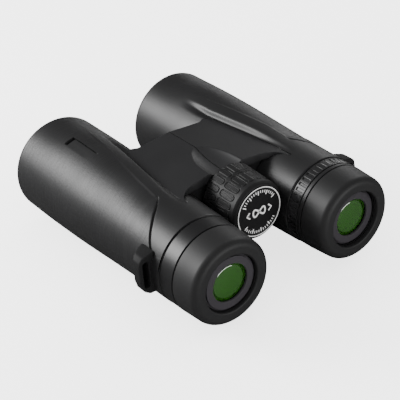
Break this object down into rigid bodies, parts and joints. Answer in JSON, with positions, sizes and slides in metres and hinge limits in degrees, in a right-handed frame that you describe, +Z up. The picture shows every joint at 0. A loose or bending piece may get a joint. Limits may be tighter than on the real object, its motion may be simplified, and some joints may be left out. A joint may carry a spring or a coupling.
{
  "type": "binoculars",
  "caption": "Roof-prism binoculars with rubber-armoured barrels, centre hinge, ribbed focus knob, twist-up eyecups, dioptre ring and strap lugs.",
  "frame": {"origin": "under the middle of the bounding box, on the surface that the barrels rest on", "axes": "+Z up, +Y from the eyepieces to the objectives, +X to the user's right, hinge fully open"},
  "size_m": [0.1328, 0.1502, 0.054],
  "materials": {
    "casing_plastic": "fine satin moulded black",
    "armour_rubber": "soft-touch black rubber, brushed grip panel outboard",
    "bridge_rubber": "smooth satin black",
    "eyecup_rubber": "matt black rubber",
    "knob_rubber": "moulded pads with fine ribs",
    "knob_plate": "black with printed white ring and ticks",
    "gloss_ring": "polished black",
    "dioptre_rubber": "ribbed black",
    "eyepiece_plastic": "dark grey anodised look",
    "coated_glass": "green anti-reflection coating",
    "clear_glass": "clear",
    "cell_alloy": "black anodised",
    "bush_alloy": "black anodised, turned",
    "hinge_steel": "ground",
    "thread_brass": "turned"
  },
  "bodies": {
    "left_half": {"left_body_casting": "casing_plastic", "left_armour": "armour_rubber", "left_bridge_cover": "bridge_rubber", "left_strap_lug": "casing_plastic", "left_objective_crown_lens": "coated_glass", "left_objective_flint_lens": "clear_glass", "left_objective_ring": "casing_plastic", "left_prism_cage": "cell_alloy", "left_roof_prism": "clear_glass", "left_half_penta_prism": "clear_glass", "left_ocular_housing": "casing_plastic", "left_ocular_cell": "cell_alloy", "left_field_lens": "clear_glass", "left_eye_lens": "coated_glass", "left_eyepiece_ring": "eyepiece_plastic", "left_fixed_ring": "gloss_ring", "rear_hinge_sleeve": "hinge_steel", "front_hinge_pin": "hinge_steel", "front_washer": "hinge_steel", "rear_washer": "hinge_steel", "tripod_bush": "bush_alloy"},
    "right_half": {"right_body_casting": "casing_plastic", "right_armour": "armour_rubber", "right_bridge_cover": "bridge_rubber", "right_strap_lug": "casing_plastic", "right_objective_crown_lens": "coated_glass", "right_objective_flint_lens": "clear_glass", "right_objective_ring": "casing_plastic", "right_prism_cage": "cell_alloy", "right_roof_prism": "clear_glass", "right_half_penta_prism": "clear_glass", "right_ocular_housing": "casing_plastic", "right_spacer_ring": "casing_plastic"},
    "focus_knob": {"knob_core": "cell_alloy", "knob_grip": "knob_rubber", "knob_face": "knob_plate", "focus_screw": "thread_brass"},
    "focus_shuttle": {"focus_shuttle": "thread_brass"},
    "left_focus_carriage": {"left_focus_cell": "cell_alloy", "left_focusing_lens": "clear_glass"},
    "right_focus_carriage": {"right_focus_cell": "cell_alloy", "right_focusing_lens": "clear_glass"},
    "dioptre_ring": {"right_dioptre_ring": "dioptre_rubber"},
    "right_ocular_group": {"right_ocular_cell": "cell_alloy", "right_field_lens": "clear_glass", "right_eye_lens": "coated_glass", "right_eyepiece_ring": "eyepiece_plastic"},
    "left_eyecup_slider": {"left_eyecup_key_ring": "cell_alloy"},
    "left_eyecup": {"left_eyecup_core": "casing_plastic", "left_eyecup_rubber": "eyecup_rubber"},
    "right_eyecup_slider": {"right_eyecup_key_ring": "cell_alloy"},
    "right_eyecup": {"right_eyecup_core": "casing_plastic", "right_eyecup_rubber": "eyecup_rubber"},
    "tripod_cap": {"tripod_cap": "casing_plastic"}
  },
  "joints": [
    {"name": "interpupillary_hinge", "type": "hinge", "parent": "left_half", "child": "right_half", "pos_m": [0, 0, 0.03577], "axis": [0, 1, 0], "range_deg": [0, 58]},
    {"name": "focus_knob_turn", "type": "hinge", "parent": "left_half", "child": "focus_knob", "pos_m": [0, -0.0351, 0.03577], "axis": [0, 1, 0], "range_deg": [-315.5, 315.5]},
    {"name": "focus_shuttle_slide", "type": "slide", "parent": "left_half", "child": "focus_shuttle", "axis": [0, 1, 0], "range_m": [-0.0035, 0.0035]},
    {"name": "left_focus_slide", "type": "slide", "parent": "left_half", "child": "left_focus_carriage", "axis": [0, 1, 0], "range_m": [-0.00351, 0.00351]},
    {"name": "right_focus_slide", "type": "slide", "parent": "right_half", "child": "right_focus_carriage", "axis": [0, 1, 0], "range_m": [-0.00351, 0.00351]},
    {"name": "dioptre_turn", "type": "hinge", "parent": "right_half", "child": "dioptre_ring", "pos_m": [0.0375, -0.0541, 0.0266], "axis": [0, 1, 0], "range_deg": [-40.2, 40.2]},
    {"name": "right_ocular_slide", "type": "slide", "parent": "right_half", "child": "right_ocular_group", "axis": [0, 1, 0], "range_m": [-0.0012, 0.0012]},
    {"name": "left_eyecup_lift", "type": "slide", "parent": "left_half", "child": "left_eyecup_slider", "axis": [0, -1, 0], "range_m": [0, 0.0075]},
    {"name": "left_eyecup_twist", "type": "hinge", "parent": "left_eyecup_slider", "child": "left_eyecup", "pos_m": [-0.0375, -0.0671, 0.0266], "axis": [0, -1, 0], "range_deg": [0, 225.2]},
    {"name": "right_eyecup_lift", "type": "slide", "parent": "right_half", "child": "right_eyecup_slider", "axis": [0, -1, 0], "range_m": [0, 0.0075]},
    {"name": "right_eyecup_twist", "type": "hinge", "parent": "right_eyecup_slider", "child": "right_eyecup", "pos_m": [0.0375, -0.0671, 0.0266], "axis": [0, -1, 0], "range_deg": [0, 225.2]},
    {"name": "tripod_cap_pull", "type": "slide", "parent": "left_half", "child": "tripod_cap", "axis": [0, 1, 0], "range_m": [0, 0.012]}
  ],
  "couplings": [
    {"joint": "focus_knob_turn", "follows": "focus_shuttle_slide", "rad_per_m": 1570.8},
    {"joint": "left_focus_slide", "follows": "focus_shuttle_slide", "ratio": 1},
    {"joint": "right_focus_slide", "follows": "focus_shuttle_slide", "ratio": 1},
    {"joint": "dioptre_turn", "follows": "right_ocular_slide", "rad_per_m": 581.78},
    {"joint": "left_eyecup_twist", "follows": "left_eyecup_lift", "rad_per_m": 523.6},
    {"joint": "right_eyecup_twist", "follows": "right_eyecup_lift", "rad_per_m": 523.6}
  ]
}
